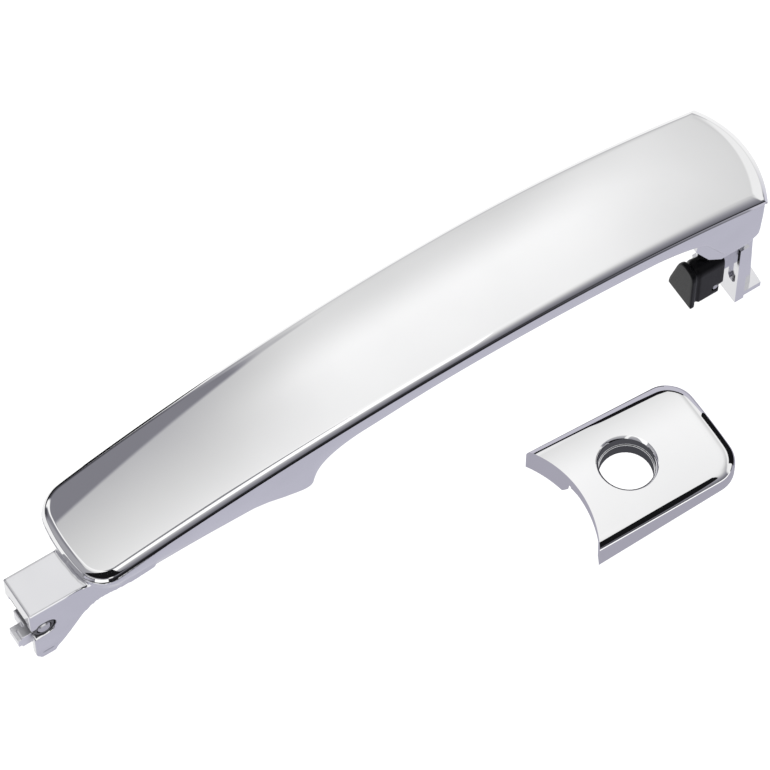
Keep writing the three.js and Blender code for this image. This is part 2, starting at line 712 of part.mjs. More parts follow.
// The frame inside the cap: a collar round the key hole, a front wall with a slot and two
// ears for the screws.
function capFrame() {
  const room = capVolume(CAP_WALL + GAP, -2);
  const collar = upright(KEY_HOLE_RADIUS + 2.2, KEY_HOLE_X, CAP_Y, [1, CAP_COLLAR_TOP], 40);
  const spine = block([102.6, 144], [CAP_Y - 3, CAP_Y + 3], CAP_FRAME_Z);
  const crossX = [CAP_SCREW_X - 3.2, CAP_SCREW_X + 3.2];
  const cross = block(crossX, [CAP_Y - 15.4, CAP_Y + 15.4], CAP_FRAME_Z);
  const front = block([101.4, 104.2], [CAP_Y - 12, CAP_Y + 5.8], [1, 7]);
  const frontFoot = block([101.4, 107], [CAP_Y - 12, CAP_Y + 5.8], CAP_FRAME_Z);
  const slot = block([100, 103], [CAP_Y - 9.6, CAP_Y + 1.6], [2.6, 5.4]);
  const holes = Object.values(CAP_SCREWS).map((dy) =>
    upright(CAP_SCREW_RADIUS + GAP, CAP_SCREW_X, CAP_Y + dy, [-1, 6], 12),
  );
  const bore = upright(KEY_HOLE_RADIUS - 0.3, KEY_HOLE_X, CAP_Y, [-5, 30], 40);
  return union([collar, spine, cross, front, frontFoot])
    .intersect(room)
    .subtract(union([slot, bore, ...holes]));
}

function capScrew(dy) {
  const y = CAP_Y + dy;
  const head = upright(1.7, CAP_SCREW_X, y, [0.1, 1 - GAP], 20, 2);
  const shank = upright(CAP_SCREW_RADIUS, CAP_SCREW_X, y, [0.4, 5.4], 12);
  const drive = block([CAP_SCREW_X - 1.2, CAP_SCREW_X + 1.2], [y - 0.25, y + 0.25], [-1, 0.45]);
  return head.add(shank).subtract(drive);
}

// A spring steel clip beside the collar that grips the key cylinder's housing.
function capClip(side) {
  const y = (v) => [CAP_Y + side * v[0], CAP_Y + side * v[1]].sort((a, b) => a - b);
  const leaf = block([114, 123.6], y([11.6, 12.2]), [0.6, 5]);
  const foot = block([114, 123.6], y([11.6, 15.2]), [0.6, 1.2]);
  const rise = block([114, 123.6], y([14.6, 15.2]), [0.6, 4.2]);
  return union([leaf, foot, rise]);
}

// ---------------------------------------------------------------- assembly

const grip = new THREE.Group();
grip.add(node("outer_skin", outerSkin(), chrome));
grip.add(node("grip_base", gripBase(), satin));
grip.add(node("arm_guide", armGuide(), silver));
for (const [name, [x, y, seat]] of Object.entries(SKIN_SCREWS)) {
  grip.add(node(name, screw(x, y, seat + 0.6 - GAP, 7), steel));
}
grip.add(node("rattle_pad_front", rattlePad(12, 34, BASE_WALL + GAP), felt));
grip.add(node("rattle_pad_rear", rattlePad(112.4, 131, 17.9 + GAP), felt));

const rear = new THREE.Group();
rear.add(node("latch_leg", latchLeg(), silver));
for (const [name, [x, y]] of Object.entries(LEG_SCREWS)) {
  rear.add(node(name, screw(x, y, SADDLE_BOTTOM_Z - GAP, 12), steel));
}
rear.add(node("buffer", buffer(), blackRubber));
const pinEnds = [-13.9, -3.6];
const bufferPin = crosswise(BUFFER_PIN.radius, BUFFER_PIN.x, BUFFER_PIN.z, pinEnds, 16);
rear.add(node("buffer_pin", bufferPin, steel));
grip.add(rear);

const pivot = new THREE.Group();
const pivotEnds = [ARM_NEAR_Y + 0.3, ARM_FAR_Y - 0.3];
const bushBore = crosswise(PIVOT_PIN_RADIUS + GAP, PIVOT_X, PIVOT_Z, [-30, 30], 28);
const pivotPin = crosswise(PIVOT_PIN_RADIUS, PIVOT_X, PIVOT_Z, pivotEnds, 28);
pivot.add(node("pivot_pin", pivotPin, steel));
const bushEnds = [ARM_NEAR_Y + 0.6, ARM_FAR_Y - 0.6];
const pivotBush = crosswise(PIVOT_BUSH_RADIUS, PIVOT_X, PIVOT_Z, bushEnds, 36);
pivot.add(node("pivot_bush", pivotBush.subtract(bushBore), darkPlastic));

const keyCap = new THREE.Group();
keyCap.add(node("cap_shell", capShell(), chrome));
keyCap.add(node("cap_frame", capFrame(), satin));
for (const [name, dy] of Object.entries(CAP_SCREWS)) {
  keyCap.add(node(name, capScrew(dy), steel));
}
keyCap.add(node("cap_clip_near", capClip(-1), steel));
keyCap.add(node("cap_clip_far", capClip(1), steel));

const handle = new THREE.Group();
handle.add(pivot, grip, keyCap);

export default handle;
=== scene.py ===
"""Looks of the outside car door handle and its key cap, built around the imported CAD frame."""

import math

import bmesh
import bpy
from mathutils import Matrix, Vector


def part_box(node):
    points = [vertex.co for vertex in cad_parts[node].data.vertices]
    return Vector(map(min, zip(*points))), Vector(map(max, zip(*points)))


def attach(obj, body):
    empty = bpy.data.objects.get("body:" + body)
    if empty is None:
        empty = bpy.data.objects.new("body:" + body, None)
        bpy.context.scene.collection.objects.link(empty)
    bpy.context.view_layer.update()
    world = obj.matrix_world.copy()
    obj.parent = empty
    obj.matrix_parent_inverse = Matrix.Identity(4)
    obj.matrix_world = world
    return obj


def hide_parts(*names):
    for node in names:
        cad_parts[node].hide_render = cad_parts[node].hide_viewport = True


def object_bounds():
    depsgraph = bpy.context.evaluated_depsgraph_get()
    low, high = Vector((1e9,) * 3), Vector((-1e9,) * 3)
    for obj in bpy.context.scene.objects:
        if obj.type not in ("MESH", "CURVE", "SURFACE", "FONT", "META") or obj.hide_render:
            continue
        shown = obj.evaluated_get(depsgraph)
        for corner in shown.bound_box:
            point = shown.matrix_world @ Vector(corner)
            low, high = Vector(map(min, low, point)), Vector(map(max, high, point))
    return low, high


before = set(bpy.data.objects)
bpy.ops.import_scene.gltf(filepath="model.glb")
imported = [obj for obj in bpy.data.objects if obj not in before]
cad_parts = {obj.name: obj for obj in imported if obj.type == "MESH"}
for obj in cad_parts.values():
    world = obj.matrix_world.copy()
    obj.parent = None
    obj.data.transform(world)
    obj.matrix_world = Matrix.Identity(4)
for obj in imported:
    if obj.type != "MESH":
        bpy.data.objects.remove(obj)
cad_lo, cad_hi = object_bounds()

MM = 0.001

# ---------------------------------------------------------------- dimensions, in millimetres

SKIN_LO, _ = (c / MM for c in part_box("outer_skin"))
GUIDE_LO, GUIDE_HI = (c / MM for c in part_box("arm_guide"))
PIN_LO, PIN_HI = (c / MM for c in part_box("pivot_pin"))
BUSH_LO, BUSH_HI = (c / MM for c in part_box("pivot_bush"))
CAP_LO, CAP_HI = (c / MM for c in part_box("cap_shell"))

GAP = 0.35  # clearance between two pieces that meet

# the grip's outline in plan
FRONT_X = SKIN_LO.x
FRONT_ARC = 55.0  # radius of the bowed front end
CORNER_X = 203.0  # where the sides meet the rear arc
HALF_WIDTH = 19.95
WIDEST_X = 136.0
FRONT_NARROWING, FRONT_RUN = 2.0, 160.0  # loss of half width, and the length it takes
REAR_NARROWING, REAR_RUN = 0.3, 67.0
CORNER_RADIUS = 10.0
REAR_ARC = 38.0

# its arch and its rounded edges
CROWN_X, CROWN_Z = 109.0, 25.8  # top of the parting line's arch
ARCH_FRONT, ARCH_REAR = 571.0, 385.0
CROWN_RADIUS = 95.0  # of the crowned top, across the grip
SHOULDER = (2.85, 3.7)  # radius at the front and at the rear
SHOULDER_CHANGE = (90.0, 190.0)
SHOULDER_SPREAD = 0.857  # horizontal share of the shoulder's radius
REAR_SPREAD = 1.5  # the shoulder is this much wider along the rear arc
SKIN_LIP = 0.55  # height of the slanted band under the shoulder
LIP_RUN = 0.36
SKIN_WALL = 2.0


# ---------------------------------------------------------------- small helpers


def smooth(t, a, b):
    """Rises smoothly from 0 at a to 1 at b."""
    t = min(max((t - a) / (b - a), 0.0), 1.0)
    return t * t * (3 - 2 * t)


def mix(a, b, t):
    return a + (b - a) * t


def steps(a, b, n):
    """n even steps from a to b, with both ends."""
    return [a + (b - a) * i / n for i in range(n + 1)]


def quad(p0, p1, p2, n=8):
    """Points of a quadratic curve, without its first."""
    out = []
    for t in steps(0, 1, n)[1:]:
        out.append(tuple((1 - t) ** 2 * a + 2 * t * (1 - t) * b + t * t * c for a, b, c in zip(p0, p1, p2)))
    return out


def cubic(p0, p1, p2, p3, n=12):
    """Points of a cubic curve, without its first."""
    out = []
    for t in steps(0, 1, n)[1:]:
        u = 1 - t
        w = (u**3, 3 * t * u * u, 3 * t * t * u, t**3)
        out.append(tuple(sum(k * p[i] for k, p in zip(w, (p0, p1, p2, p3))) for i in range(2)))
    return out


def arc(cx, cy, r, a0, a1, n=12):
    """Points of a circular arc between two angles in degrees."""
    return [
        (cx + r * math.cos(math.radians(a)), cy + r * math.sin(math.radians(a))) for a in steps(a0, a1, n)
    ]


def link(obj):
    bpy.context.scene.collection.objects.link(obj)
    return obj


def mesh_object(name, verts, faces, smooth_angle=None):
    """A mesh object from points in millimetres."""
    mesh = bpy.data.meshes.new(name)
    mesh.from_pydata([tuple(c * MM for c in v) for v in verts], [], faces)
    bm = bmesh.new()
    bm.from_mesh(mesh)
    bmesh.ops.remove_doubles(bm, verts=bm.verts, dist=1e-7)
    bmesh.ops.dissolve_degenerate(bm, edges=bm.edges, dist=1e-7)
    bmesh.ops.recalc_face_normals(bm, faces=bm.faces)
    bm.to_mesh(mesh)
    bm.free()
    shade(mesh, smooth_angle)
    return link(bpy.data.objects.new(name, mesh))


def shade(mesh, angle):
    """Smooth shading, with sharp edges above the angle; flat shading without one."""
    if angle is not None:
        mesh.polygons.foreach_set("use_smooth", [True] * len(mesh.polygons))
        mesh.set_sharp_from_angle(angle=math.radians(angle))
    mesh.update()


def prism(name, points, axis, lo, hi):
    """A closed prism. axis Z: points are (x, y); axis Y: (x, z); axis X: (y, z)."""
    place = {
        "Z": lambda p, t: (p[0], p[1], t),
        "Y": lambda p, t: (p[0], t, p[1]),
        "X": lambda p, t: (t, p[0], p[1]),
    }[axis]
    n = len(points)
    verts = [place(p, lo) for p in points] + [place(p, hi) for p in points]
    faces = [tuple(range(n)), tuple(range(2 * n - 1, n - 1, -1))]
    faces += [(i, (i + 1) % n, n + (i + 1) % n, n + i) for i in range(n)]
    return mesh_object(name, verts, faces)


def box_solid(name, xs, ys, zs):
    return prism(name, [(xs[0], ys[0]), (xs[1], ys[0]), (xs[1], ys[1]), (xs[0], ys[1])], "Z", *zs)


def baked(obj):
    """Replaces the object's mesh with the result of its modifiers."""
    bpy.context.view_layer.update()
    done = bpy.data.meshes.new_from_object(obj.evaluated_get(bpy.context.evaluated_depsgraph_get()))
    old = obj.data
    obj.modifiers.clear()
    obj.data = done
    bpy.data.meshes.remove(old)
    return obj


def combine(obj, other, operation):
    """Cuts or crosses the object with another one, which goes away."""
    m = obj.modifiers.new("boolean", "BOOLEAN")
    m.operation, m.solver, m.object = operation, "EXACT", other
    baked(obj)
    bpy.data.objects.remove(other)
    return obj


def cut(obj, *others):
    for o in others:
        combine(obj, o, "DIFFERENCE")
    return obj


def merge(obj, *others):
    """Joins closed bodies into one mesh, for a later remesh."""
    bm = bmesh.new()
    bm.from_mesh(obj.data)
    for o in others:
        bm.from_mesh(o.data)
        bpy.data.objects.remove(o)
    bm.to_mesh(obj.data)
    bm.free()
    return obj


def cast(obj, voxel, rounds):
    """Turns the joined bodies into one casting with soft edges, on a grid of voxel millimetres."""
    m = obj.modifiers.new("remesh", "REMESH")
    m.mode, m.voxel_size = "VOXEL", voxel * MM
    s = obj.modifiers.new("soften", "SMOOTH")
    s.factor, s.iterations = 0.5, rounds
    baked(obj)
    shade(obj.data, 50)
    return obj


def piece(obj, body, material, replaces=()):
    """Gives the object its finish and its body, and hides the CAD nodes that it stands in for."""
    obj.data.materials.clear()
    obj.data.materials.append(material)
    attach(obj, body)
    if replaces:
        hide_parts(*replaces)
    return obj


# ---------------------------------------------------------------- materials


MOTTLING = 12  # size of the wide mottling, in grains
RELIEF = 0.05  # depth of the fine bump, in millimetres


def node_material(name):
    m = bpy.data.materials.new(name)
    m.use_nodes = True
    return m, m.node_tree.nodes, m.node_tree.links, m.node_tree.nodes["Principled BSDF"]


def finish_material(name, color, dark, metallic, rough, grain, bump, fine_rough=False, specular=0.5):
    """A plated, cast or moulded finish: mottled colour and roughness, and a fine bump of size grain (mm).

    fine_rough: the roughness varies with the grain, not with the wide mottling."""
    m, nodes, links, shader = node_material(name)
    shader.inputs["Metallic"].default_value = metallic
    shader.inputs["Specular IOR Level"].default_value = specular
    coords = nodes.new("ShaderNodeTexCoord")
    cloud = nodes.new("ShaderNodeTexNoise")
    cloud.inputs["Scale"].default_value = 1 / (grain * MOTTLING * MM)
    cloud.inputs["Detail"].default_value = 4
    fine = nodes.new("ShaderNodeTexNoise")
    fine.inputs["Scale"].default_value = 1 / (grain * MM)
    fine.inputs["Detail"].default_value = 3
    links.new(coords.outputs["Object"], cloud.inputs["Vector"])
    links.new(coords.outputs["Object"], fine.inputs["Vector"])
    tint = nodes.new("ShaderNodeValToRGB")
    tint.color_ramp.elements[0].position = 0.3
    tint.color_ramp.elements[0].color = (*dark, 1)
    tint.color_ramp.elements[1].position = 0.7
    tint.color_ramp.elements[1].color = (*color, 1)
    links.new(cloud.outputs["Fac"], tint.inputs["Fac"])
    links.new(tint.outputs["Color"], shader.inputs["Base Color"])
    spread = nodes.new("ShaderNodeMapRange")
    spread.inputs["From Min"].default_value = 0.3
    spread.inputs["From Max"].default_value = 0.7
    spread.inputs["To Min"].default_value = rough[0]
    spread.inputs["To Max"].default_value = rough[1]
    links.new((fine if fine_rough else cloud).outputs["Fac"], spread.inputs["Value"])
    links.new(spread.outputs["Result"], shader.inputs["Roughness"])
    relief = nodes.new("ShaderNodeBump")
    relief.inputs["Strength"].default_value = bump
    relief.inputs["Distance"].default_value = RELIEF * MM
    links.new(fine.outputs["Fac"], relief.inputs["Height"])
    links.new(relief.outputs["Normal"], shader.inputs["Normal"])
    return m


CHROME = finish_material(
    "mirror_chrome", (0.93, 0.93, 0.935), (0.90, 0.90, 0.905), 1.0, (0.015, 0.04), 2.5, 0.01
)
PLATED = finish_material(
    "plated_casting", (0.75, 0.75, 0.77), (0.71, 0.71, 0.73), 1.0, (0.08, 0.15), 1.2, 0.05
)
SILVER = finish_material(
    "silver_diecast", (0.80, 0.80, 0.82), (0.72, 0.72, 0.75), 0.9, (0.24, 0.36), 0.6, 0.16
)
STEEL = finish_material("zinc_steel", (0.62, 0.62, 0.63), (0.5, 0.5, 0.52), 1.0, (0.2, 0.4), 0.8, 0.1)
RUBBER = finish_material(
    "black_rubber",
    (0.006, 0.006, 0.007),
    (0.003, 0.003, 0.0035),
    0.0,
    (0.24, 0.36),
    0.35,
    0.1,
    fine_rough=True,
    specular=0.07,
)
PLASTIC = finish_material(
    "dark_plastic", (0.06, 0.06, 0.065), (0.04, 0.04, 0.045), 0.0, (0.3, 0.42), 0.4, 0.2
)
FELT = finish_material(
    "black_felt", (0.03, 0.03, 0.03), (0.012, 0.012, 0.012), 0.0, (0.85, 1.0), 0.25, 1.0, fine_rough=True
)

# ---------------------------------------------------------------- camera, floor and light

TARGET = Vector((76, -2.48, 0)) * MM
AZIMUTH, ELEVATION = math.radians(-33), math.radians(62)
DISTANCE = 1.5
BACK = Vector(
    (
        math.sin(AZIMUTH) * math.cos(ELEVATION),
        -math.cos(AZIMUTH) * math.cos(ELEVATION),
        math.sin(ELEVATION),
    )
)

camera = link(bpy.data.objects.new("camera", bpy.data.cameras.new("camera")))
camera.data.sensor_width = 36
camera.data.lens = 233.8
camera.data.clip_start, camera.data.clip_end = 0.05, 200
camera.location = TARGET + BACK * DISTANCE
camera.rotation_mode = "QUATERNION"
camera.rotation_quaternion = (-BACK).to_track_quat("-Z", "Y")
bpy.context.scene.camera = camera
bpy.context.scene.view_settings.view_transform = "Standard"


def emitter(name, color, strength):
    """A plain glowing material."""
    m, nodes, links, shader = node_material(name)
    nodes.remove(shader)
    glow = nodes.new("ShaderNodeEmission")
    glow.inputs["Color"].default_value = (*color, 1)
    glow.inputs["Strength"].default_value = strength
    links.new(glow.outputs["Emission"], nodes["Material Output"].inputs["Surface"])
    return m


def card(name, corners, material):
    """A flat studio card that only mirrors see."""
    obj = mesh_object(name, corners, [tuple(range(len(corners)))])
    obj.data.materials.append(material)
    obj.visible_camera = obj.visible_diffuse = obj.visible_shadow = obj.visible_transmission = False


FLOOR_Z = cad_lo.z / MM - 1
FLOOR_REACH = 3e4
BACKDROP_RADIUS = 40  # metres
floor_material, _, _, floor_shader = node_material("white_table")
floor_shader.inputs["Base Color"].default_value = (0.5, 0.5, 0.5, 1)
floor_shader.inputs["Roughness"].default_value = 0.9
floor_shader.inputs["Emission Color"].default_value = (1, 1, 1, 1)
floor_shader.inputs["Emission Strength"].default_value = 0.86
floor_corners = [(-1, -1), (1, -1), (1, 1), (-1, 1)]
table_top = mesh_object(
    "table_top", [(FLOOR_REACH * x, FLOOR_REACH * y, FLOOR_Z) for x, y in floor_corners], [(0, 1, 2, 3)]
)
table_top.data.materials.append(floor_material)
table_top.visible_glossy = False

backdrop = link(bpy.data.objects.new("backdrop", bpy.data.meshes.new("backdrop")))
bm = bmesh.new()
bmesh.ops.create_uvsphere(bm, u_segments=48, v_segments=24, radius=BACKDROP_RADIUS)
bm.to_mesh(backdrop.data)
bm.free()
backdrop.data.materials.append(emitter("white_backdrop", (1, 1, 1), 1.0))
backdrop.visible_glossy = backdrop.visible_diffuse = backdrop.visible_shadow = False
backdrop.visible_transmission = False


def world_light():
    """A white ceiling with soft falls of brightness, grey walls and a grey-lavender ground.

    x, y and z are the direction that a mirror looks in: x to the rear, y to the far side, z up.
    Brightness is worked out as shown on screen, from 0 to 1, and turned into light at the end."""
    world = bpy.data.worlds.new("studio")
    bpy.context.scene.world = world
    world.use_nodes = True
    nodes, links = world.node_tree.nodes, world.node_tree.links
    background = nodes["Background"]

    def put(socket, value):
        if isinstance(value, (int, float)):
            socket.default_value = value
        else:
            links.new(value, socket)

    def calc(operation, a, b=0.0, c=0.0):
        n = nodes.new("ShaderNodeMath")
        n.operation = operation
        for socket, value in zip(n.inputs, (a, b, c)):
            put(socket, value)
        return n.outputs[0]

    def ramp(value, lo, hi, to_lo, to_hi, kind="SMOOTHSTEP"):
        n = nodes.new("ShaderNodeMapRange")
        n.interpolation_type = kind
        keys = ("Value", "From Min", "From Max", "To Min", "To Max")
        for key, v in zip(keys, (value, lo, hi, to_lo, to_hi)):
            put(n.inputs[key], v)
        return n.outputs["Result"]

    def lerp(a, b, t):
        return calc("MULTIPLY_ADD", calc("SUBTRACT", b, a), t, a)

    def color(rgb):
        n = nodes.new("ShaderNodeRGB")
        n.outputs[0].default_value = (*rgb, 1)
        return n.outputs[0]

    def blend(a, b, t):
        n = nodes.new("ShaderNodeMix")
        n.data_type = "RGBA"
        put(n.inputs["Factor"], t)
        links.new(a, n.inputs[6])
        links.new(b, n.inputs[7])
        return n.outputs[2]

    def profile(value, stops):
        """Brightness along value, from -1 to 1."""
        n = nodes.new("ShaderNodeValToRGB")
        n.color_ramp.interpolation = "B_SPLINE"
        while len(n.color_ramp.elements) < len(stops):
            n.color_ramp.elements.new(0.5)
        for element, (at, level) in zip(n.color_ramp.elements, stops):
            element.position = (at + 1) / 2
            element.color = (level, level, level, 1)
        put(n.inputs["Fac"], calc("MULTIPLY_ADD", value, 0.5, 0.5))
        return n.outputs["Color"]

    coords = nodes.new("ShaderNodeTexCoord")
    split = nodes.new("ShaderNodeSeparateXYZ")
    links.new(coords.outputs["Generated"], split.inputs[0])
    x, y, z = split.outputs
    up = calc("MAXIMUM", z, 0.02)
    u, w = calc("DIVIDE", x, up), calc("DIVIDE", y, up)

    # ceiling
    left = calc("MULTIPLY_ADD", y, -0.35, 0.93)
    right = calc("MULTIPLY_ADD", y, 0.08, 0.94)
    fade = calc("SUBTRACT", 1.0, ramp(x, 0.35, 0.62, 0, 1))
    right = calc("SUBTRACT", right, calc("MULTIPLY", fade, ramp(y, 0.4, 0.7, 0, 0.15)))
    right = calc("SUBTRACT", right, ramp(x, 0.4, 0.75, 0.0, 0.11))
    right = calc("SUBTRACT", right, ramp(z, 0.7, 0.4, 0.0, 0.07, "LINEAR"))
    ceiling = calc("MINIMUM", lerp(left, right, ramp(x, -0.12, 0.12, 0, 1)), 0.985)
    # far wall, which starts at an edge in the ceiling
    edge = calc("MULTIPLY_ADD", calc("MINIMUM", u, 0.0), 0.7, 0.87)
    edge = calc("MULTIPLY_ADD", calc("MAXIMUM", u, 0.0), 0.75, edge)
    beyond = ramp(calc("SUBTRACT", w, edge), -0.015, 0.03, 0, 1)
    dim = ramp(z, 0.08, 0.5, 0.27, 0.5)
    middle = ramp(z, 0.0, 0.5, 0.5, 0.71)
    light = ramp(z, -0.1, 0.25, 0.68, 0.83)
    wall = lerp(lerp(dim, middle, ramp(x, 0.0, 0.06, 0, 1)), light, ramp(x, 0.06, 0.15, 0, 1))
    far = lerp(ceiling, wall, beyond)
    # near side, from straight down to straight up, with a dark line under the horizon
    near = profile(
        z,
        (
            (-1, 0.79),
            (-0.6, 0.77),
            (-0.3, 0.82),
            (-0.18, 0.72),
            (-0.12, 0.06),
            (-0.07, 0.12),
            (-0.02, 0.36),
            (0.04, 0.42),
            (0.14, 0.46),
            (0.36, 0.54),
            (0.56, 0.66),
            (0.72, 0.8),
            (0.86, 0.93),
            (0.95, 0.96),
            (1, 0.965),
        ),
    )
    # light ground on the far side
    ground = lerp(0.78, 0.95, ramp(y, -0.1, 0.4, 0, 1))
    far = lerp(ground, far, ramp(z, -0.12, -0.04, 0, 1))
    bright = lerp(near, far, ramp(y, -0.12, 0.06, 0, 1))
    # end walls
    level = ramp(z, -0.1, 0.02, 0, 1)
    bright = lerp(bright, 0.63, calc("MULTIPLY", level, ramp(x, -0.62, -0.8, 0, 1)))
    bright = lerp(bright, 0.93, calc("MULTIPLY", level, ramp(x, 0.72, 0.82, 0, 1)))
    # bright line round the grip's front end
    line = calc("MULTIPLY", ramp(x, -0.3, -0.37, 0, 1), ramp(x, -0.54, -0.46, 0, 1))
    bright = lerp(bright, 0.97, calc("MULTIPLY", level, line))
    # lavender in the greys and near the ground
    linear = calc("POWER", calc("MAXIMUM", bright, 0.0), 2.2)
    lavender = ramp(bright, 0.4, 0.85, 1, 0)
    lavender = calc("MAXIMUM", lavender, calc("MULTIPLY", ramp(z, 0.0, -0.2, 0, 1), ramp(y, 0.3, -0.1, 0, 1)))
    tint = blend(color((1, 1, 1)), color((0.965, 0.955, 1.1)), lavender)
    scaled = nodes.new("ShaderNodeVectorMath")
    scaled.operation = "SCALE"
    links.new(tint, scaled.inputs[0])
    links.new(linear, scaled.inputs["Scale"])
    links.new(scaled.outputs[0], background.inputs["Color"])
    background.inputs["Strength"].default_value = 1.08


world_light()


def level_card(name, material, x, y, z):
    """A level rectangle: x and y are its spans, z its height."""
    card(name, [(x[0], y[0], z), (x[1], y[0], z), (x[1], y[1], z), (x[0], y[1], z)], material)


def upright_card(name, material, x, y, z):
    """An upright rectangle along the grip: x and z are its spans."""
    card(name, [(x[0], y, z[0]), (x[1], y, z[0]), (x[1], y, z[1]), (x[0], y, z[1])], material)


WHITE_CARD = emitter("white_card", (1, 1, 1), 1.15)
PALE_CARD = emitter("pale_card", (0.56, 0.55, 0.63), 1.0)
LAVENDER_CARD = emitter("lavender_card", (0.40, 0.39, 0.46), 1.0)
GREY_CARD = emitter("grey_card", (0.25, 0.25, 0.27), 1.0)
DIM_CARD = emitter("dim_card", (0.075, 0.075, 0.085), 1.0)
BLACK_CARD = emitter("black_card", (0.008, 0.008, 0.009), 1.0)

# white band and fine dark line along the grip's near shoulder
level_card("near_reflector", WHITE_CARD, (-220, 132), (-127, -50), 125)
NEAR_SLAT = [(-85, -64), (72, -64), (66, -56), (-4, -16), (-85, -16)]
card("near_slat", [(x, y, 150) for x, y in NEAR_SLAT], GREY_CARD)

# black front corner and dark far edge of the grip
level_card("corner_flag", BLACK_CARD, (-160, -34), (-150, -19), 30)
FAR_LINE = [(-46, 21), (52, 21), (34, 28), (10, 75), (-46, 75)]
card("far_line", [(x, y, 8) for x, y in FAR_LINE], BLACK_CARD)

# bright edge along the arm
upright_card("arm_edge_light", WHITE_CARD, (-62, -38), -32, (-10, 9))
level_card("arm_top_light", WHITE_CARD, (-62, -38), (-32, -13.6), 9)

# black bands, fine lines and lavender skirt of the key cap
NEAR_FLAG = [(84, -300), (84, -98), (104, -92), (130, -88.6), (147, -88.6), (153, -104), (157, -300)]
card("near_flag", [(x, y, 24) for x, y in NEAR_FLAG], BLACK_CARD)
upright_card("cap_edge_light", WHITE_CARD, (84, 176), -104, (-0.5, 4.5))
REAR_FLAG = [(-88, -14), (-60, -14), (-60, 14), (-88, 14)]
card("rear_flag", [(160, y, z) for y, z in REAR_FLAG], BLACK_CARD)
level_card("bore_flag", DIM_CARD, (104, 134), (-81, -55), -0.6)
upright_card("gap_flag", BLACK_CARD, (86, 165), -44, (13.2, 17))
upright_card("cap_far_line", BLACK_CARD, (86, 150), -42.5, (-0.7, 3.4))
level_card("cap_ground", LAVENDER_CARD, (82, 172), (-112, -36), -0.8)

# keeps the key cap's cards out of the grip's near side; its top follows the grip's arch
SCREEN_TOP = [(203, 12.9), (175, 17.3), (159, 19.2), (135, 20.9), (117, 21.4), (88, 20.7), (60, 18.6)]
card("grip_screen", [(x, -40, z) for x, z in [(60, -14), (215, -14), (215, 10.8)] + SCREEN_TOP], PALE_CARD)

# ---------------------------------------------------------------- curves of the grip


def half_width(x):
    """Half of the grip's width, which is largest at WIDEST_X."""
    loss, run = (FRONT_NARROWING, FRONT_RUN) if x < WIDEST_X else (REAR_NARROWING, REAR_RUN)
    return HALF_WIDTH - loss * ((x - WIDEST_X) / run) ** 2


def parting(x):
    """Height of the line where the skin meets the base, along its arch."""
    r = ARCH_FRONT if x < CROWN_X else ARCH_REAR
    return CROWN_Z - r + math.sqrt(r * r - (x - CROWN_X) ** 2)


def crown(x, y):
    """Rise of the crowned top over its own edge."""
    return math.sqrt(CROWN_RADIUS**2 - y * y) - math.sqrt(CROWN_RADIUS**2 - half_width(x) ** 2)


def shoulder(x):
    """Radius of the rounded edge."""
    return mix(*SHOULDER, smooth(x, *SHOULDER_CHANGE))


def shoulder_drop(x, share):
    """How far the shoulder has fallen below the crown at a share of its width from the edge."""
    r = shoulder(x)
    return r - math.sqrt(r * r - (r * SHOULDER_SPREAD * (1 - share)) ** 2)


ARC_X = CORNER_X - math.sqrt(REAR_ARC**2 - half_width(CORNER_X) ** 2)
FRONT_ARC_X = FRONT_X + FRONT_ARC
BEND_Y = half_width(FRONT_X + CORNER_RADIUS) - CORNER_RADIUS
BEND_X = FRONT_ARC_X - math.sqrt((FRONT_ARC - CORNER_RADIUS) ** 2 - BEND_Y**2)
BEND_START = math.asin(BEND_Y / (FRONT_ARC - CORNER_RADIUS))


def bow(radius, half, v):
    """How far an arc stands proud of its chord at a share v of the half chord."""
    return math.sqrt(radius**2 - (v * half) ** 2) - math.sqrt(radius**2 - half**2)


def rear_corner(inset):
    """x at which an inset side meets the inset rear arc."""
    x = CORNER_X
    for _ in range(6):
        x = ARC_X + math.sqrt((REAR_ARC - inset * REAR_SPREAD) ** 2 - (half_width(x) - inset) ** 2)
    return x


class Plan:
    """The grip's outline in plan, as columns that run from its near to its far side."""

    def __init__(self, turns, stations, across):
        self.turns = turns
        self.stations = stations  # shares of the side, 0 at the front bend and 1 at the rear corner
        self.across = across
        self.columns = turns + len(stations) - 1

    def point(self, column, v, inset):
        """x and y on a column, with v from -1 at the near side to 1 at the far side."""
        if column <= self.turns:
            share = column / self.turns
            turn = mix(BEND_START, math.pi / 2, share)
            r = CORNER_RADIUS - inset
            half = BEND_Y + r * math.sin(turn)
            return BEND_X - r * math.cos(turn) - (1 - share) * bow(FRONT_ARC - inset, half, v), v * half
        share = self.stations[column - self.turns]
        x = BEND_X + share * (rear_corner(inset) - BEND_X)
        w = half_width(x) - inset
        return x + smooth(share, 0.7, 1.0) * bow(REAR_ARC - inset * REAR_SPREAD, w, v), v * w

    def shares(self):
        return steps(-1, 1, self.across)

    def ring(self):
        """(column, v) once round the edge."""
        vs = self.shares()
        ends = [(0, v) for v in reversed(vs)]
        near = [(c, -1) for c in range(1, self.columns)]
        rear = [(self.columns, v) for v in vs]
        far = [(c, 1) for c in range(self.columns - 1, 0, -1)]
        return ends + near + rear + far

    def fill_faces(self, index):
        """Quads between the columns. index(column, k) gives a vertex."""
        faces = []
        for c in range(self.columns):
            for k in range(self.across):
                faces.append((index(c, k), index(c + 1, k), index(c + 1, k + 1), index(c, k + 1)))
        return faces


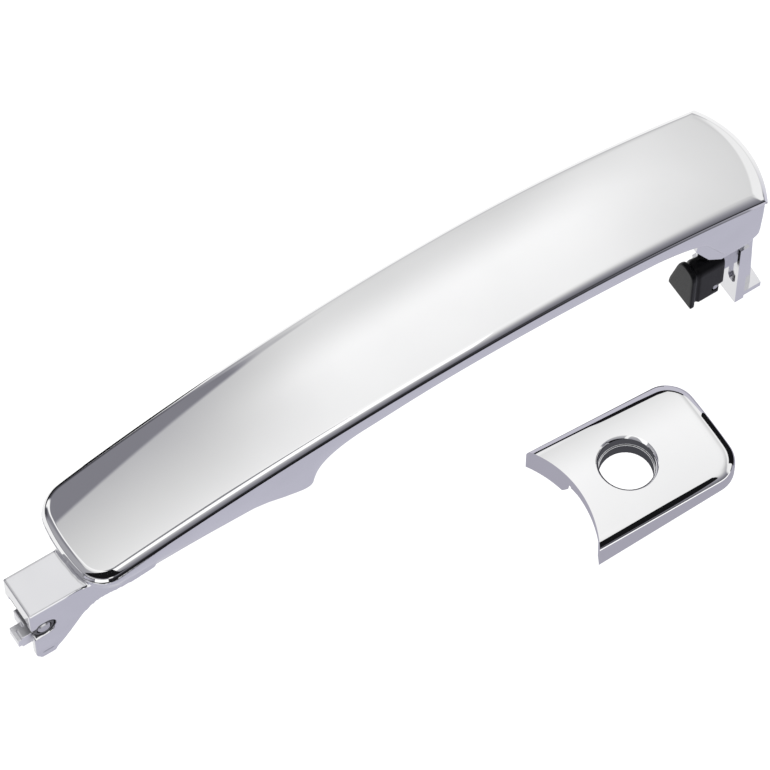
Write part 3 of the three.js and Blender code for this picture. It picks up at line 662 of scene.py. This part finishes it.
def layered(name, plan, layers, top, bottom, smooth_angle):
    """A closed solid through rings round the plan.

    layers: functions (column, v) -> point, from the ring that borders top to the one that borders bottom.
    top, bottom: functions (column, v) -> point, for the two fills."""
    ring = plan.ring()
    verts, faces = [], []
    for layer in layers:
        verts += [layer(c, v) for c, v in ring]
    n = len(ring)
    for a in range(len(layers) - 1):
        for i in range(n):
            j = (i + 1) % n
            faces.append((a * n + i, a * n + j, (a + 1) * n + j, (a + 1) * n + i))
    for fill in (top, bottom):
        start = len(verts)
        verts += [fill(c, v) for c in range(plan.columns + 1) for v in plan.shares()]
        faces += plan.fill_faces(lambda c, k: start + c * (plan.across + 1) + k)
    return mesh_object(name, verts, faces, smooth_angle)


# ---------------------------------------------------------------- outer skin


def skin_point(plan, share, sink=0.0, inset=0.0):
    """A ring of the top: share runs from 0 at the shoulder's outer end to 1 at its inner, upper end."""
    def at(column, v):
        x0, _ = plan.point(column, v, 0)
        width = shoulder(x0) * SHOULDER_SPREAD
        x, y = plan.point(column, v, LIP_RUN + inset + share * width)
        top = parting(x) + SKIN_LIP + shoulder_drop(x, 0) + crown(x, y)
        return x, y, top - shoulder_drop(x, share) - sink

    return at


def skin_foot(plan, inset):
    """A ring of the foot, which follows the parting line."""
    def at(column, v):
        x, y = plan.point(column, v, inset)
        return x, y, parting(x) + crown(x, y) + 0.1 * min(inset, 1)

    return at


def build_skin():
    plan = Plan(16, steps(0, 1, 120), 36)
    shares = [1 - math.sin(a) for a in steps(0, math.pi / 2, 22)]
    outer = [skin_point(plan, s) for s in shares]
    feet = [skin_foot(plan, i) for i in (0, 0.5, SKIN_WALL)]
    inner = [skin_point(plan, s, SKIN_WALL * 0.8, SKIN_WALL) for s in steps(0, 1, 4)]
    return layered("skin_shell", plan, outer + feet + inner, skin_point(plan, 1), inner[-1], 32)


piece(build_skin(), "grip", CHROME, ["outer_skin"])

# ---------------------------------------------------------------- base and front arm

BASE_INSET = 0.45
FRONT_FLARE = 0.75  # the base stands out under the front end
UNDERSIDE = [(FRONT_X, 3.2)]
UNDERSIDE += quad((FRONT_X, 3.2), (-31, 0.2), (-24, 0))
UNDERSIDE += [(23, 0)]
UNDERSIDE += quad((23, 0), (31, -3.6), (37, -4.9))
UNDERSIDE += quad((37, -4.9), (40.6, -5.6), (41.2, -2.6))
UNDERSIDE += cubic((41.2, -2.6), (41.8, 4), (46, 10.4), (58, 12.3))
UNDERSIDE += quad((58, 12.3), (86, 15.9), (114, 15.25))
UNDERSIDE += quad((114, 15.25), (146, 14.4), (174, 9.8))
UNDERSIDE += quad((174, 9.8), (179, 9), (181.5, 7))
UNDERSIDE += [(187.5, -3.2)]
UNDERSIDE += quad((187.5, -3.2), (189.6, -7.5), (193, -7.5))
UNDERSIDE += [(198.6, -7.5), (205, -3.2), (212, -3.2)]


def underside(x):
    """Height of the base's underside."""
    if x <= UNDERSIDE[0][0]:
        return UNDERSIDE[0][1]
    for (x0, z0), (x1, z1) in zip(UNDERSIDE, UNDERSIDE[1:]):
        if x <= x1:
            return z0 + (z1 - z0) * (x - x0) / max(x1 - x0, 1e-6)
    return UNDERSIDE[-1][1]


def foot_radius(x):
    """Radius of the base's lower edge, widest where the fingers go."""
    grip = smooth(x, 44, 84) * (1 - smooth(x, 166, 182))
    return mix(mix(2.8, 1.0, smooth(x, 100, 180)), 4.0, grip)


def base_inset(x):
    """How far the base's wall starts inside the outline, or outside it under the front end."""
    return BASE_INSET - FRONT_FLARE * (1 - smooth(x, -30, 8))


def draft(x):
    """How far the wall leans in between its top and its foot."""
    return mix(1.3, 0.4, smooth(x, 20, 70))


def base_wall(plan, down, turn):
    """A ring of the wall: down is the share of the wall's height, turn the angle round the foot's edge."""

    def at(column, v):
        x0, _ = plan.point(column, v, BASE_INSET)
        r, lean = foot_radius(x0), draft(x0)
        inset = base_inset(x0) + lean * down**2 + r * (1 - math.cos(turn))
        x, y = plan.point(column, v, inset)
        top = parting(x) + crown(x, y) * (1 - down) - GAP
        return x, y, mix(top, underside(x) + r, down) - r * math.sin(turn)

    return at


def build_base():
    side = rear_corner(0) - BEND_X
    marks = steps(-24, 36, 12) + steps(36.5, 47, 21) + steps(48.5, 64, 8)
    marks += steps(68, 172, 22) + steps(174, CORNER_X, 29)
    stations = [min((m - BEND_X) / side, 1.0) for m in marks]
    plan = Plan(8, stations, 12)
    wall = [base_wall(plan, d, 0) for d in steps(0, 1, 6)]
    edge = [base_wall(plan, 1, a) for a in steps(0, math.pi / 2, 8)[1:]]

    def top(column, v):
        x0, _ = plan.point(column, v, 0)
        x, y = plan.point(column, v, base_inset(x0))
        return x, y, parting(x) + crown(x, y) - GAP

    return layered("base_casting", plan, wall + edge, top, edge[-1], 40)


ARM_TOP, ARM_BOTTOM, ARM_END = 5.6, -23.0, -54.6
ARM_NEAR, ARM_FAR = -13.2, 2.0
ARM_WALL = 2.6
ARM_ROOT = (-14, -17.4)  # where the arm's near side runs into the base
CHANNEL_END = -41
CUTTER = 30  # cutting bodies reach at least this far past the arm
PIVOT_X = (PIN_LO.x + PIN_HI.x) / 2
PIVOT_Z = (PIN_LO.z + PIN_HI.z) / 2
SLOT_RADIUS = 3.95


def arm_plan():
    """The arm from above, with a near side that swings out to the base."""
    root_x, root_y = ARM_ROOT
    near = [(ARM_END, ARM_NEAR), (-39, ARM_NEAR)]
    near += cubic((-39, ARM_NEAR), (-33, ARM_NEAR), (-29, -16.8), (-20, root_y), 14)
    return near + [ARM_ROOT, (root_x, ARM_FAR), (ARM_END, ARM_FAR)]


def arm_side(end):
    """The arm from the side, down to the toe of its cheeks."""
    points = [(ARM_END, ARM_TOP), (ARM_END, PIVOT_Z + 3.4), (end, PIVOT_Z - 4.6)]
    points += [(end, ARM_BOTTOM + 1.8)]
    points += quad((end, ARM_BOTTOM + 1.8), (end, ARM_BOTTOM), (end + 1.6, ARM_BOTTOM), 5)
    points += [(-46.6, ARM_BOTTOM)]
    points += cubic((-46.6, ARM_BOTTOM), (-42, -19), (-38, -12), (-33, -6))
    points += quad((-33, -6), (-28, 0.6), (ARM_ROOT[0], 1.5))
    return points + [(ARM_ROOT[0], ARM_TOP)]


def pivot_slot(name, lo, hi):
    """The slot that hooks over the pivot, open at the arm's end."""
    r = SLOT_RADIUS
    points = [(-62, PIVOT_Z - r - 0.6), (PIVOT_X, PIVOT_Z - r)]
    points += arc(PIVOT_X, PIVOT_Z, r, -90, 90, 20)[1:]
    points += [(PIVOT_X - 1.6, PIVOT_Z + r), (PIVOT_X - 2.8, PIVOT_Z + r - 1.5)]
    points += [(PIVOT_X - 4, PIVOT_Z + r - 1.5), (-62, PIVOT_Z + r + 1.5)]
    return prism(name, points, "Y", lo, hi)


def build_arm():
    arm = prism("arm", arm_plan(), "Z", -40, ARM_TOP)
    combine(arm, prism("arm_side", arm_side(ARM_END + 0.8), "Y", -CUTTER, CUTTER), "INTERSECT")
    inside = (ARM_NEAR + ARM_WALL, ARM_FAR - ARM_WALL)
    channel = box_solid("channel", (-70, CHANNEL_END), inside, (-CUTTER, PIVOT_Z + 5))
    far_trim = box_solid("far_trim", (-70, ARM_END + 3.4), (inside[1], 5), (-CUTTER, PIVOT_Z + 1))
    cut(arm, channel, far_trim, pivot_slot("slot", -CUTTER, CUTTER))
    ledge_ys, ledge_zs = (ARM_NEAR - 0.7, ARM_NEAR + 1), (ARM_BOTTOM, ARM_BOTTOM + 2.4)
    ledge = box_solid("ledge", (ARM_END + 2, -47.2), ledge_ys, ledge_zs)
    return merge(arm, ledge)


base = merge(build_base(), build_arm())
cast(base, 0.45, 5)
base.name = "base_casting"
piece(base, "grip", PLATED, ["grip_base"])


def build_nib():
    """The stepped block in the arm's end."""
    lo, hi = GUIDE_LO, GUIDE_HI
    nib = box_solid("arm_nib", (lo.x + 3.8, hi.x), (lo.y, hi.y), (lo.z, hi.z))
    nose = box_solid("nose", (lo.x, lo.x + 4.4), (lo.y, lo.y + 5.4), (lo.z + 1.1, hi.z - 0.8))
    step = box_solid("step", (lo.x + 1.2, lo.x + 4.4), (lo.y, lo.y + 3.2), (lo.z, hi.z))
    return cast(merge(nib, nose, step), 0.2, 3)


piece(build_nib(), "grip", SILVER, ["arm_guide"])

# ---------------------------------------------------------------- pivot

ROUND = 64  # segments round a turned piece


def turned(profile):
    """Points and faces of a piece turned round the pivot's axis. profile: (y, radius)."""
    turns = arc(0, 0, 1, 0, 360, ROUND)[:-1]
    verts = [(PIVOT_X + r * c, y, PIVOT_Z + r * s) for y, r in profile for c, s in turns]
    faces = []
    for k in range(len(profile) - 1):
        for i in range(ROUND):
            a, b = k * ROUND + i, k * ROUND + (i + 1) % ROUND
            faces.append((a, b, b + ROUND, a + ROUND))
    return verts, faces


def build_rod():
    """The pivot pin, with chamfered ends that a tiny face closes."""
    lo, hi, r = PIN_LO.y, PIN_HI.y, (PIN_HI.x - PIN_LO.x) / 2
    middle, chamfer = 0.01, 0.4
    profile = [(lo, middle), (lo, r - chamfer), (lo + chamfer, r)]
    profile += [(hi - chamfer, r), (hi, r - chamfer), (hi, middle)]
    verts, faces = turned(profile)
    faces += [tuple(range(ROUND)), tuple(range(len(verts) - ROUND, len(verts)))]
    return mesh_object("pivot_rod", verts, faces, 35)


def build_bush():
    """The roller on the pin, bored through and with chamfered ends."""
    lo, hi, r = BUSH_LO.y, BUSH_HI.y, (BUSH_HI.x - BUSH_LO.x) / 2
    bore, chamfer = (PIN_HI.x - PIN_LO.x) / 2 + GAP, 0.4
    profile = [(lo, bore), (lo, r - chamfer), (lo + chamfer, r)]
    profile += [(hi - chamfer, r), (hi, r - chamfer), (hi, bore), (lo, bore)]
    verts, faces = turned(profile)
    return mesh_object("pivot_roller", verts, faces, 35)


piece(build_rod(), "door_pivot", STEEL, ["pivot_pin"])
piece(build_bush(), "door_pivot", PLASTIC, ["pivot_bush"])

# ---------------------------------------------------------------- key cap shell

CAP_Y = (CAP_LO.y + CAP_HI.y) / 2
CAP_FRONT_X, CAP_REAR_X = 96.0, CAP_HI.x
CAP_HALF, CAP_TAPER = (CAP_HI.y - CAP_LO.y) / 2, 0.7
CAP_CORNER = 9.0
CAP_EDGE = (8.6, 3.9)  # height of the skirt at the front and at the rear
CAP_SHOULDER = 3.2  # radius of the rounded edge
CAP_DROP = 0.6  # the rounded edge reaches this far below the skirt's height
CAP_REAR_SPREAD = 1.35  # the shoulder is this much wider along the rear
CAP_WALL = 1.8
HOLE_X, HOLE_RADIUS, HOLE_FLARE = 118.8, 8.5, 0.95
COLLAR_WALL, COLLAR_FOOT = 1.7, 5.75  # the short tube round the hole, and the height it ends at
OPENING = (-16.6, 6.6, 7.4)  # the front opening: near end, far end and top


def cap_share(x):
    """Share of the way from the cap's front to its rear."""
    return (x - CAP_FRONT_X) / (CAP_REAR_X - CAP_FRONT_X)


def cap_half(x):
    """Half of the cap's width."""
    return CAP_HALF - CAP_TAPER * cap_share(x)


def cap_edge(x):
    """Height of the rounded edge's lower end."""
    return mix(*CAP_EDGE, cap_share(x)) - CAP_DROP


def cap_ring():
    """Marks once round the cap: front arc, near side, round rear end, far side."""
    marks = [("front", -v) for v in steps(-1, 1, 44)]
    marks += [("near", t) for t in steps(0, 1, 30)[1:]]
    marks += [("near_bend", t) for t in steps(0, 1, 12)[1:]]
    marks += [("rear", t) for t in steps(0, 1, 22)[1:]]
    marks += [("far_bend", t) for t in steps(0, 1, 12)[1:]]
    return marks + [("far", t) for t in steps(0, 1, 30)[1:-1]]


def cap_point(mark, inset, front_inset=0.0):
    """A point of the outline, about the cap's own middle line."""
    kind, t = mark
    bend_x = CAP_REAR_X - CAP_CORNER
    bend_y = cap_half(bend_x) - CAP_CORNER
    r = CAP_CORNER - inset
    arc_x = CAP_FRONT_X - math.sqrt(REAR_ARC**2 - CAP_HALF**2)
    front_half = CAP_HALF - inset
    corner_x = arc_x + math.sqrt((REAR_ARC + front_inset) ** 2 - front_half**2)
    if kind == "front":
        y = t * front_half
        return arc_x + math.sqrt((REAR_ARC + front_inset) ** 2 - y * y), y
    if kind == "rear":
        return CAP_REAR_X - inset * CAP_REAR_SPREAD, mix(-bend_y, bend_y, t)
    side = -1 if kind.startswith("near") else 1
    if kind.endswith("bend"):
        turn = math.pi / 2 * (t if side < 0 else 1 - t)
        deep = CAP_CORNER - inset * CAP_REAR_SPREAD
        return bend_x + deep * math.sin(turn), side * (bend_y + r * math.cos(turn))
    along = t if side < 0 else 1 - t
    return mix(corner_x, bend_x, along), side * mix(front_half, bend_y + r, along)


def cap_top(x, y):
    """Height of the crowned top."""
    flat = CAP_HALF - CAP_SHOULDER
    rise = math.sqrt(CROWN_RADIUS**2 - min(abs(y), flat) ** 2) - math.sqrt(CROWN_RADIUS**2 - flat**2)
    return cap_edge(x) + CAP_SHOULDER + rise


def build_cap():
    """A closed ring of rings: out from the hole over the top, down the outside, and back inside."""
    marks = cap_ring()
    edge = [cap_point(m, 0) for m in marks]
    angles = [math.atan2(y, x - HOLE_X) for x, y in edge]
    opening = [m[0] == "front" and OPENING[0] < e[1] < OPENING[1] for m, e in zip(marks, edge)]

    def circle(radius, height):
        ring = []
        for a in angles:
            x, y = HOLE_X + radius * math.cos(a), radius * math.sin(a)
            ring.append((x, y, cap_top(x, y) + height if height <= 0 else height))
        return ring

    def outline(inset, height, front_inset=0.0):
        ring = []
        for m, is_open in zip(marks, opening):
            x, y = cap_point(m, inset, front_inset)
            ring.append((x, y, height(x, y, is_open)))
        return ring

    def between(inner, outer, share, height):
        ring = []
        for a, b in zip(inner, outer):
            x, y = mix(a[0], b[0], share), mix(a[1], b[1], share)
            ring.append((x, y, cap_top(x, y) + height))
        return ring

    s = CAP_SHOULDER
    # the hole, its flare and the top
    rings = [circle(HOLE_RADIUS, COLLAR_FOOT), circle(HOLE_RADIUS, -1.5), circle(HOLE_RADIUS + 0.12, -0.9)]
    rings += [circle(HOLE_RADIUS + HOLE_FLARE * 0.8, -0.12), circle(HOLE_RADIUS + HOLE_FLARE, 0)]
    flat = outline(s, lambda x, y, o: cap_top(x, y))
    rings += [between(rings[4], flat, t, 0) for t in steps(0, 1, 14)[1:-1]] + [flat]
    # the rounded edge and the foot of the skirt, which the front opening lifts
    for a in steps(0, math.pi / 2, 14)[1:]:
        i, fall = s * (1 - math.sin(a)), s * (1 - math.cos(a))
        rings.append(outline(i, lambda x, y, o, f=fall: cap_top(x, y) - f))
    foot = OPENING[2]
    rings.append(outline(0, lambda x, y, o: foot + 0.25 if o else 0.25))
    rings.append(outline(0.25, lambda x, y, o: foot if o else 0.0, 0.25))
    w = CAP_WALL
    # the inside, back to the collar
    rings.append(outline(w - 0.2, lambda x, y, o: foot if o else 0.0, w - 0.2))
    rings.append(outline(w, lambda x, y, o: foot + 0.2 if o else 0.2, w))
    rings.append(outline(w, lambda x, y, o: cap_top(x, y) - w - 1.4, w))
    rings.append(outline(w + 1.6, lambda x, y, o: cap_top(x, y) - w, w + 1.6))
    under = circle(HOLE_RADIUS + COLLAR_WALL, -w)
    rings += [between(under, rings[-1], t, -w) for t in steps(1, 0, 6)[1:-1]] + [under]
    rings.append(circle(HOLE_RADIUS + COLLAR_WALL, COLLAR_FOOT))
    verts = [(x, y + CAP_Y, z) for ring in rings for x, y, z in ring]
    n, count = len(marks), len(rings)
    faces = []
    for k in range(count):
        for i in range(n):
            j, after = (i + 1) % n, (k + 1) % count
            faces.append((k * n + i, k * n + j, after * n + j, after * n + i))
    return mesh_object("cap_cover", verts, faces, 30)


piece(build_cap(), "key_cap", CHROME, ["cap_shell"])

# ---------------------------------------------------------------- finish of the carried-over nodes

LOOKS = {
    "skin_screw_front": STEEL,
    "skin_screw_rear": STEEL,
    "leg_screw_near": STEEL,
    "leg_screw_far": STEEL,
    "rattle_pad_front": FELT,
    "rattle_pad_rear": FELT,
    "latch_leg": PLATED,
    "buffer": RUBBER,
    "buffer_pin": STEEL,
    "cap_frame": PLATED,
    "cap_screw_near": STEEL,
    "cap_screw_far": STEEL,
    "cap_clip_near": STEEL,
    "cap_clip_far": STEEL,
}
for name, look in LOOKS.items():
    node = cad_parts[name]
    node.data.materials.clear()
    node.data.materials.append(look)
    if name == "buffer":  # a soft moulding, with round edges all over
        moulded = node.modifiers.new("moulded", "REMESH")
        moulded.mode, moulded.voxel_size = "VOXEL", 0.25 * MM
        moulded.use_smooth_shade = True
        rounded = node.modifiers.new("rounded", "SMOOTH")
        rounded.factor, rounded.iterations = 0.5, 24
    elif not node.hide_render:
        weld = node.modifiers.new("weld", "WELD")
        weld.merge_threshold = 1e-6
        soft = node.modifiers.new("soft_edges", "BEVEL")
        soft.limit_method, soft.angle_limit = "ANGLE", math.radians(35)
        soft.width, soft.segments = 0.18 * MM, 2
